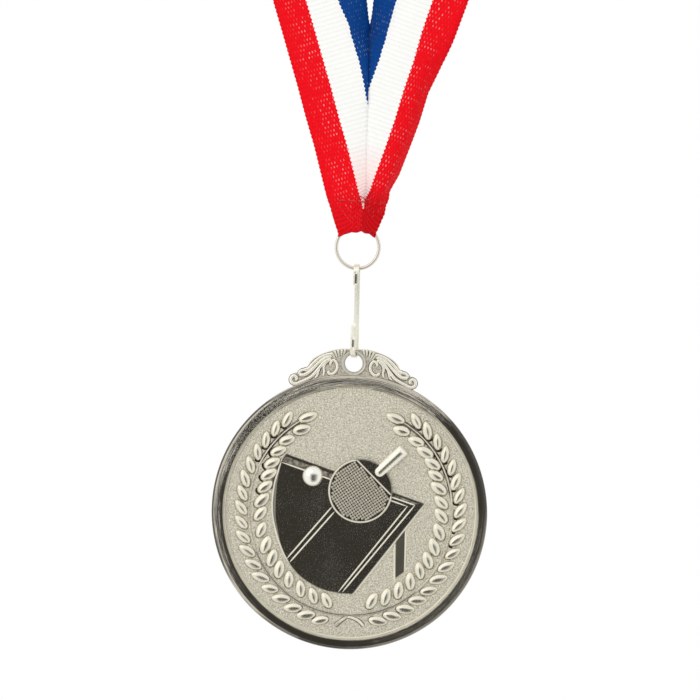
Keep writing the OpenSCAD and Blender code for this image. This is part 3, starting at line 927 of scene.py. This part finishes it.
TAPE_W, TAPE_T, TAPE_LEN = 22.0, 0.8, 800.0
CLOTH_T = 0.62
LEAN = math.radians(18.5)
FOLD = math.radians(47)
HEM_HALF, HEM_H, HEM_ARCH, ROLL_LEN = 4.4, 8.5, 11.0, 2.5
SLANT = TAPE_W / math.cos(LEAN)
LOW_LEN = (SLANT / 2 - HEM_HALF) / math.tan(LEAN) / math.cos(LEAN)
TURN_LEN = 1 / math.tan(LEAN) + math.pi / 2 + LEAN
NECK_R = (TAPE_LEN / 2 - LOW_LEN - HEM_H - ROLL_LEN) / TURN_LEN
STRAIGHT = NECK_R / math.tan(LEAN)
STRAND = NECK_R * TURN_LEN
ARC_Z = -(NECK_R - TAPE_T / 2)
CROSS_Z = ARC_Z - NECK_R / math.sin(LEAN)
HEM_Z = CROSS_Z + (HEM_HALF - SLANT / 2) / math.tan(LEAN)
HEM_FOLD_Z = HEM_Z + HEM_H
SEAM_HALF, SEAM_GAP = 0.1, 0.02
CREASE_S = (SEAM_HALF + SLANT / 6) / math.sin(LEAN)
APEX_S = (SEAM_HALF + SLANT * (1 / 6 + math.cos(FOLD) / 3)) / math.sin(LEAN)
APEX_Z = CROSS_Z + APEX_S * math.cos(LEAN)
ARCH_Z = HEM_Z + HEM_ARCH - math.sqrt(HEM_ARCH ** 2 - HEM_HALF ** 2)
RIB = 1.07
COLS = 13

# Where the seam and the two strands lie beside the model's middle line, and how far the right outer
# edge is turned back, read at these heights
MARKS = (-333, -329, -325, -322, -312, -305, -298, -291, -284, -278, -200)
SEAM = (0.6, 0.8, 1.2, 1.6, 1.4, 1.3, 1.1, 0.9, 0.7, 0.6, 0)
LEFT = (-0.2, -0.3, -0.2, -0.15, 0.4, 0.45, 0.7, 0.8, 0.9, 0.95, 0)
RIGHT = (0.8, 1.1, 1.5, 2.2, 2.1, 1.9, 1.4, 1.2, 0.9, 0.9, 0)
TURNED_BACK = (0, 4, 44, 65, 62, 58, 55, 34, 0, 0, 0)


def smooth(t):
    u = np.clip(t, 0, 1)
    return u * u * (3 - 2 * u)


def past_bend(reach, softness, play):
    """How far points lie past a rounded bend, from how far they would lie past a sharp one."""
    return np.maximum(0.5 * (reach + np.sqrt(reach ** 2 + softness)) - play, 0)


def edge_x(z):
    return SLANT / 2 + (z - CROSS_Z) * math.tan(LEAN)


def shift(z, side):
    return np.interp(z, MARKS, RIGHT if side > 0 else LEFT)


def seam_x(z, side):
    return side * (np.interp(z, MARKS, SEAM) - shift(z, side)) + SEAM_GAP


def wander(u, z, side):
    """Stripes run a little unevenly where the tape is pulled in at the V."""
    if side > 0:
        first = np.interp(z, (-291, -284, -278, -240), (0, 0.35, 0.55, 0))
        second = np.interp(z, (-303, -298, -291, -284, -278, -240), (0, 0.5, 0.4, 0.9, 1.8, 0))
    else:
        first = 0 * z
        second = np.interp(z, (-300, -298, -291, -284, -278), (0, 0.2, 0.9, 1.0, 0))
    reach = 2.6
    near = np.exp(-((u - TAPE_W / 3) / reach) ** 2)
    far = np.exp(-((u - TAPE_W * 2 / 3) / reach) ** 2)
    return u - first * near - second * far


def strand_rows(s, v, side):
    """Middle surface of one strand at lengths s (rows) and shares v of its width (columns)."""
    square_len, flat_len, turn_after = 40, 18, 8
    later_crease, later_len = (1.4 if side < 0 else 0), 8
    s = s[:, None]
    v = v[None, :]
    a = np.where(s <= STRAIGHT, -LEAN, -LEAN + (s - STRAIGHT) / NECK_R)
    cx = np.where(s <= STRAIGHT, s * math.sin(LEAN), NECK_R * np.cos(a))
    cz = np.where(s <= STRAIGHT, CROSS_Z + s * math.cos(LEAN), ARC_Z + NECK_R * np.sin(a))
    skew = LEAN * (1 - smooth((s - APEX_S) / square_len))
    fold = np.where(s < APEX_S, FOLD * smooth((s - CREASE_S) / (APEX_S - CREASE_S)),
                    FOLD * (1 - smooth((s - APEX_S) / flat_len)))
    turn_s = APEX_S + turn_after
    turn = math.pi / 2 * smooth((s - turn_s) / (STRAIGHT - turn_s))
    slant = TAPE_W / np.cos(skew)
    crease = slant * 2 / 3
    flat_reach = slant / 2 + cx - seam_x(cz, side)
    reach = np.where(s >= APEX_S, slant, np.where(
        flat_reach <= crease, flat_reach, crease + (flat_reach - crease) / np.cos(fold)))
    c = v * np.minimum(reach, slant)
    over = c - crease - later_crease * smooth((s - CREASE_S) / later_len)
    bent = past_bend(over, 0.8, 0.012)
    across = slant / 2 - (c - bent) - bent * np.cos(fold)
    back = bent * np.sin(fold)
    b = a + skew
    x = cx + across * np.cos(turn) * np.cos(b) - back * np.sin(turn) * np.cos(a)
    y = across * np.sin(turn) + back * np.cos(turn)
    z = cz + across * np.cos(turn) * np.sin(b) - back * np.sin(turn) * np.sin(a)
    # below the apex the inner edges meet on the seam
    gap = (x[:, -1:] - seam_x(cz, side)) * (s < APEX_S) * smooth((APEX_S - s) / 3 + 0.4)
    x = x - gap * smooth((v - 0.5) / 0.5)
    u_tape = c * np.cos(skew)
    v_tape = s + (slant / 2 - c) * np.sin(skew)
    return np.stack([x, y, z], -1), wander(u_tape, z, side), v_tape


HEM_TOP_S = -6.0
HEM_TOP_Z = CROSS_Z + HEM_TOP_S * math.cos(LEAN)
LAYER = 0.40
ROLL = 0.86


def hem_bottom(x):
    """Height of the hem's lower edge: an arch with drooping ends, a notch and small waves."""
    arch = np.sqrt(HEM_ARCH ** 2 - np.minimum(np.abs(x), 6) ** 2)
    droop = 0.3 * smooth((np.abs(x) - 2.8) / 1.3)
    notch = 0.3 * np.exp(-((x - 0.9) / 0.6) ** 2)
    waves = 0.09 * np.sin(2.9 * x)
    return ARCH_Z - HEM_ARCH + arch - droop + (notch + waves)


def hem_rows(v, side):
    """Doubled end of one strand: down the front, round the wire and up the back."""
    pinch, pinch_z = (1.4 if side > 0 else 0.15), -323
    front_rows, roll_steps, back_rows = 56, 9, 34
    back_end, back_step = 0.26, 0.3
    pull, pull_width = 3.2, 4.5
    rows, us, vs = [], [], []

    def edge(z):
        return edge_x(z) - pinch * smooth((pinch_z - z) / 5)

    def lay(q, layer):
        """Row at share q of the way down, layer 1 behind the middle and -1 before it."""
        z = HEM_TOP_Z + (HEM_Z + ROLL - HEM_TOP_Z) * q + 0 * v
        for _ in range(2):
            x = seam_x(z, side) + (edge(z) - seam_x(z, side)) * (1 - v)
            low = hem_bottom(side * x + shift(z, side)) + ROLL
            z = HEM_TOP_Z + (low - HEM_TOP_Z) * q
        open_up = smooth(q / 0.45) if layer < 0 else 1
        y = layer * (LAYER * open_up + (ROLL - LAYER) * smooth((q - 0.55) / 0.45))
        return np.stack([x, y + 0 * x, z], -1)

    def keep(row, u, w):
        rows.append(row)
        us.append(u)
        vs.append(w)

    # down the front, where the ribs are pulled aslant beside the seam
    for q in np.linspace(0, 1, front_rows)[1:]:
        p = lay(q, -1)
        s = (p[:, 2] - CROSS_Z) / math.cos(LEAN)
        c = SLANT / 2 + s * math.sin(LEAN) - p[:, 0]
        near = np.clip(1 - (p[:, 0] - seam_x(p[:, 2], side)) / pull_width, 0, 1)
        w = s + (SLANT / 2 - c) * math.sin(LEAN)
        keep(p, c * math.cos(LEAN), w - pull * near ** 2 * smooth(q / 0.7))
    last = rows[-1]
    for t in np.linspace(0, math.pi, roll_steps + 1)[1:-1]:
        p = last.copy()
        p[:, 1] = -ROLL * math.cos(t)
        p[:, 2] = last[:, 2] - ROLL * math.sin(t)
        keep(p, us[-1], vs[-1] - ROLL * math.pi / roll_steps)
    for q in np.linspace(1, back_end, back_rows):
        keep(lay(q, 1), us[-1], vs[-1] - back_step)
    return rows, us, vs


def settle(p, side):
    """Uneven lie of the cloth: seam valley, waves, gathers, and the right outer edge turned back."""
    gather_z, gather_end_z = -317, -325
    wave_low_z, wave_high_z = -318, -180
    turned_width = 4.4
    x, y, z = p[:, 0].copy(), p[:, 1].copy(), p[:, 2].copy()
    from_seam = x - seam_x(z, side)
    y += 0.4 * smooth((APEX_Z - z) / 6) * np.exp(-(from_seam / 1.2) ** 2)
    gathered = smooth((gather_z - z) / 6) * (1 - smooth((gather_end_z - z) / 4))
    y += gathered * 0.17 * np.sin(from_seam * 2.3 - (z - gather_end_z) * 0.75 * side)
    waved = smooth((z - wave_low_z) / 20) * smooth((wave_high_z - z) / 40)
    y += waved * 0.3 * np.sin(z * 0.085 + side * 0.7)
    if side > 0:
        y += gathered * 0.16 * np.maximum(from_seam, 0)
        angle = np.radians(np.interp(z, MARKS, TURNED_BACK))
        out = x - edge_x(z) + turned_width
        bent = past_bend(out, 0.6, 0.05)
        share = smooth(out / 1.5)
        x = x - bent * (1 - np.cos(angle)) - y * np.sin(angle) * share
        y = y * (1 - share * (1 - np.cos(angle))) + bent * np.sin(angle)
    return np.stack([side * x + shift(z, side), y, z], -1)


def tape_rows():
    """Middle surface of the whole tape, with its places across and along the flat tape."""
    fine_to = 78
    even = np.linspace(0, 1, COLS)
    v = 0.35 * (1 - np.cos(math.pi * even)) / 2 + 0.65 * even
    s = np.concatenate([np.arange(HEM_TOP_S, fine_to, RIB / 4), np.arange(fine_to, STRAND, RIB / 2),
                        [STRAND]])
    halves = []
    for side in (1, -1):
        p, u, w = strand_rows(s, v, side)
        hem, hem_u, hem_w = hem_rows(v, side)
        halves.append((np.array([settle(r, side) for r in hem[::-1] + list(p)]),
                       np.array(hem_u[::-1] + list(u)), np.array(hem_w[::-1] + list(w))))
    (right, right_u, right_w), (left, left_u, left_w) = halves
    return (np.concatenate([right, left[-2::-1]]), np.concatenate([right_u, left_u[-2::-1]]),
            np.concatenate([right_w, 2 * STRAND - left_w[-2::-1]]))


def unit(vectors):
    return vectors / (np.linalg.norm(vectors, axis=2, keepdims=True) + 1e-12)


def tape_object():
    """Tape with a front, a back and scalloped edges, and its places when flat as a UV map."""
    mid, u, w = tape_rows()
    along = np.gradient(mid, axis=0)
    across = unit(np.gradient(mid, axis=1))
    scallop, whole = 0.09, 0.98 * TAPE_W
    for col, sign in ((0, -1), (COLS - 1, 1)):
        bulge = scallop * np.cos(2 * math.pi * w[:, col] / RIB)
        free = 1.0 if col == 0 else (u[:, col] > whole) * 1.0
        mid[:, col] += (sign * bulge * free)[:, None] * across[:, col]
    half = unit(np.cross(along, np.gradient(mid, axis=1))) * CLOTH_T / 2
    lip = across * CLOTH_T * 0.3

    def around(front, last, back, first):
        return np.concatenate([front, last[:, -1:], back[:, ::-1], first[:, :1]], axis=1)

    rings = around(mid + half, mid + lip, mid - half, mid - lip)
    obj = new_mesh("striped_tape", *loft((rings * MM).tolist(), cap_first=True))
    mesh = obj.data
    index = np.zeros(len(mesh.loops), np.int32)
    mesh.loops.foreach_get("vertex_index", index)
    flat = np.stack([around(u, u, u, u).reshape(-1), around(w, w, w, w).reshape(-1)], -1) / TAPE_W
    uv = mesh.uv_layers.new(name="tape")
    uv.data.foreach_set("uv", flat[index].astype(np.float32).ravel())
    mesh.shade_smooth()
    return obj


def tape_material():
    g = material("striped woven tape")
    u, w, _ = g.split(g.node("ShaderNodeUVMap", uv_map="tape"))
    x = u * TAPE_W
    y = w * TAPE_W
    coords = g.vec(x, y)
    rib = (y + g.noise(coords, 0.35, 2) * 0.35) / RIB
    crest = g.humps(rib)
    gap = 1.0 - crest
    # stripe borders step in and out with the ribs
    cut = (x + (crest - 0.5) * 0.28) / TAPE_W

    def by_stripe(first, second, third):
        return g.ramp(cut, [(0.0, first), (0.3333, second), (0.6667, third)], "CONSTANT")

    def odd(count):
        """1 for every other whole number and 0 for the rest, for counts above -4000."""
        return g.math("MODULO", count + 4000.0, 2.0)

    # towards the doubled end the white is painted pink: painted shade with red light bounced from the red
    # stripes
    red, white, blue = linear(240, 8, 24), linear(250, 250, 247), linear(5, 65, 138)
    bounce_tinted_white = linear(252, 222, 218)
    from_hem = g.math("MINIMUM", y, 2 * STRAND - y)
    stripes = g.mix(g.rise(from_hem, 1.0, -9.0), by_stripe(red, white, blue),
                    by_stripe(red, bounce_tinted_white, blue))
    # warp ends, staggered from rib to rib
    warp_pitch = 0.33
    warp = g.humps(x / warp_pitch + odd(g.math("FLOOR", rib)) * 0.5)
    yarn = g.noise(g.vec(x * 3.0, y * 0.8), 1.0, 2)
    # the gaps between ribs are painted darker as shade, and warp ends and yarn vary the tone
    shade = crest * 0.08 + (warp * 0.08 + yarn * 0.14) + 0.815
    shade = shade + by_stripe(0.0, 0.7, 0.0) * (1.0 - shade)
    # the doubled end is darker, most of all on the right, and darker still in the gaps between its ribs:
    # painted shade of a panel turned from the light and of the rib gaps
    hem_shade_stops = [(0.22, 0.0), (0.38, 1.0), (0.52, 1.0), (0.58, 0.4)]
    hem_reach = 40.0
    right_hem_shade = g.ramp(y / -hem_reach, hem_shade_stops)
    left_hem_shade = g.ramp((y - 2 * STRAND) / hem_reach, hem_shade_stops)
    hem = g.most(left_hem_shade, right_hem_shade)
    painted_hem_shade = right_hem_shade * 0.28 + left_hem_shade * 0.08 + hem * (gap * 0.24)
    shade = shade * (1.0 - painted_hem_shade)
    colour = g.mix(1.0, stripes, g.vec(shade, shade, shade), "MULTIPLY")
    # pale binder yarn shows between the ribs in scattered patches
    binder_pitch = 0.72
    groove = g.math("FLOOR", rib + 0.5)
    cell = x / binder_pitch + odd(groove) * 0.5
    patch = g.ramp(g.noise(coords, 0.16, 3), [(0.40, 0.08), (0.60, 1.0)])
    part = g.ramp(u, [(0.05, 0.1), (0.2, 1.0), (0.33, 1.0), (0.66, 0.6), (0.85, 0.5), (1.0, 0.1)])
    chance = g.node("ShaderNodeTexWhiteNoise", {"Vector": g.vec(g.math("FLOOR", cell), groove)},
                    "Value", noise_dimensions="2D")
    jitter = g.ramp(chance, [(0.25, 0.05), (0.85, 1.0)])
    speck = g.ramp(gap, [(0.25, 0.0), (0.6, 1.0)]) * g.ramp(g.humps(cell), [(0.84, 0.0), (0.95, 1.0)])
    speck = speck * part * (patch * jitter) * (1.0 - hem * 0.75)
    colour = g.mix(speck * 0.48, colour, (0.95, 0.86, 0.82))
    relief = crest + (warp * 0.35 + yarn * 0.25)
    g.set(Base_Color=colour, Roughness=0.62, Specular_IOR_Level=0.08,
          Normal=g.bump(relief, 0.00016, 0.6))
    return g.owner


tape = tape_object()
tape.data.materials.append(tape_material())
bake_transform(tape)
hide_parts("neck_ribbon", "ribbon_hem")


# Sewing

def thread_material():
    g = material("red sewing thread")
    ply = g.node("ShaderNodeTexWave", {"Vector": g.place(), "Scale": 900.0, "Distortion": 1.5,
                                       "Detail": 1.0}, "Fac", bands_direction="DIAGONAL")
    g.set(Base_Color=g.mix(ply, linear(176, 10, 22), linear(232, 24, 36)), Roughness=0.55,
          Sheen_Weight=0.2, Normal=g.bump(ply, 0.00008, 0.7))
    return g.owner


def on_hem(x, y, z):
    """Point on the settled hem, x counted from the seam and y from the tape's middle."""
    side = 1 if x >= 0 else -1
    return Vector(settle(np.array([[abs(x) + seam_x(z, side), y, z]]), side)[0])


def behind_seam(s):
    """Point just behind the seam at length s."""
    p = strand_rows(np.array([s]), np.array([0.0, 1.0]), 1)[0][0]
    return Vector(settle(p, 1)[1]) + Vector((0, CLOTH_T / 2 + 0.1, 0))


def stitch(shape, a, b, dip):
    """One stitch from a to b, its ends dipping into the cloth by dip along y."""
    pts = []
    for i in range(9):
        t = i / 8
        pts.append(a + (b - a) * t + Vector((0, dip, 0)) * abs(2 * t - 1) ** 4)
    shape.add(*tube(pts, THREAD_R))


THREAD_R, LOOSE_R, DIP = 0.16, 0.13, 0.3
ROW_Z, ROW_FROM, ROW_STITCH, ROW_PITCH = HEM_FOLD_Z - 0.5, -6.3, 1.9, 2.5
thread_mat = thread_material()
hem_thread = Shape()
for face in (-1, 1):
    for i in range(5):
        x = ROW_FROM + ROW_PITCH * i
        y = face * (LAYER + CLOTH_T / 2 + 0.07)
        a = on_hem(x, y, ROW_Z + 0.12 * math.sin(i * 2.1))
        b = on_hem(x + ROW_STITCH, y, ROW_Z + 0.12 * math.sin(i * 2.1 + 1.3))
        stitch(hem_thread, a, b, -face * DIP)
LOOSE_END = [(-0.4, -0.7, -323.55), (0.2, -1.1, -323.5), (0.8, -1.3, -323.7), (1.4, -1.25, -323.95),
             (1.95, -1.0, -324.15), (2.5, -0.5, -324.2)]
hem_thread.add(*tube(curve(LOOSE_END, 0.15), LOOSE_R))
hem_thread_obj = hem_thread.make("hem_stitches", [thread_mat], sharp=50)
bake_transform(hem_thread_obj)
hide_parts("hem_thread")

seam_thread = Shape()
SEAM_STITCH, SEAM_PITCH, ABOVE_HEM, BELOW_APEX = 2, 2.7, 2.3, 3
s = (HEM_FOLD_Z + ABOVE_HEM - CROSS_Z) / math.cos(LEAN)
while s + SEAM_STITCH < APEX_S - BELOW_APEX:
    stitch(seam_thread, behind_seam(s), behind_seam(s + SEAM_STITCH), -DIP)
    s += SEAM_PITCH
seam_thread_obj = seam_thread.make("seam_stitches", [thread_mat], sharp=50)
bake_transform(seam_thread_obj)
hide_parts("seam_thread")


# Stage, in metres

def stage_floor():
    radius, sides, height = 0.75, 96, -0.56
    floor = new_mesh("floor", [(*polar(radius, 360 * i / sides), height) for i in range(sides)],
                     [list(range(sides))])
    g = material("pale floor")
    p = g.place()
    x, y, _ = g.split(p)
    fade = g.ramp(g.length(x, y) / radius, [(0.35, 1.0), (0.95, 0.0)])
    g.set(Base_Color=g.mix(g.noise(p, 30, 2), (0.90, 0.90, 0.90), (0.93, 0.93, 0.93)),
          Roughness=0.9, Alpha=fade)
    floor.data.materials.append(g.owner)
    floor.visible_glossy = False


def dark_card():
    """Tall dark flag on the camera's side: flat polished metal mirrors it."""
    left, right, low, top = -0.3, 0.75, -1.0, 0.25
    card = new_mesh("flag", [(left, 0, low), (right, 0, low), (right, 0, top), (left, 0, top)],
                    [[0, 1, 2, 3]])
    card.location = (0, -0.6, DISC_Z * MM)
    g = material("dark flag", "ShaderNodeEmission")
    x, _, z = g.split(g.place())
    dark = (0.10, 0.095, 0.085)

    def along(v, marks):
        """Tones at places from one edge of the flag to the other."""
        first, size = marks[0][0], marks[-1][0] - marks[0][0]
        return g.ramp((v - first) / size, [((at - first) / size, tone) for at, tone in marks])

    across = along(x, [(left, 1.0), (-0.17, 0.45), (-0.105, dark), (0.105, dark), (0.2, 0.2),
                       (0.42, 0.42), (right, 1.0)])
    upright = along(z, [(low, 1.0), (-0.75, 0.4), (-0.5, 0.0), (0.1, 0.0), (0.17, 0.4), (top, 1.0)])
    g.set(Color=g.mix(1.0, across, upright, "LIGHTEN"))
    card.data.materials.append(g.owner)
    for rays in ("camera", "diffuse", "shadow", "transmission"):
        setattr(card, "visible_" + rays, False)


def world():
    """White where it is seen or mirrored, and dimmer as a source of light."""
    studio = bpy.data.worlds.new("studio")
    bpy.context.scene.world = studio
    g = Graph(studio, "ShaderNodeBackground", "ShaderNodeOutputWorld")
    rays = g.add("ShaderNodeLightPath").outputs
    seen = g.most(Value(g, rays["Is Camera Ray"]), Value(g, rays["Is Glossy Ray"]))
    seen = g.most(seen, Value(g, rays["Is Transmission Ray"]))
    strength = g.node("ShaderNodeMapRange", {"Value": seen, "To Min": 0.62, "To Max": 1.0})
    g.set(Color=(1, 1, 1, 1), Strength=strength)


def lamp(name, place, target, size, power, on_metal=False):
    data = bpy.data.lights.new(name, "AREA")
    data.shape = "RECTANGLE"
    data.size, data.size_y = size
    data.energy = power
    obj = new_object(name, data)
    obj.location = place
    obj.rotation_euler = (Vector(target) - Vector(place)).to_track_quat("-Z", "Y").to_euler()
    obj.visible_glossy = on_metal
    obj.visible_diffuse = not on_metal


def camera():
    distance, frame_width, sensor = 1.1, 0.1658, 36
    aside, above_disc, roll = -0.00101, 0.0382, 1.9
    data = bpy.data.cameras.new("camera")
    data.sensor_width = sensor
    data.lens = sensor * distance / frame_width
    obj = new_object("camera", data)
    obj.matrix_world = (moved(aside, -distance, DISC_Z * MM + above_disc)
                        @ rotation(90, "X") @ rotation(roll))
    bpy.context.scene.camera = obj


stage_floor()
dark_card()
world()
lamp("key", (-0.55, -0.75, 0.05), (0, 0, -0.35), (1.2, 1.2), 5.5)
lamp("fill", (0.7, -0.6, -0.15), (0, 0, -0.35), (0.6, 0.8), 1.6)
lamp("sheen", (-0.6, -0.75, 0.1), (0, 0, -0.38), (1.1, 1.1), 1.0, on_metal=True)
camera()
bpy.context.scene.view_settings.view_transform = "Standard"
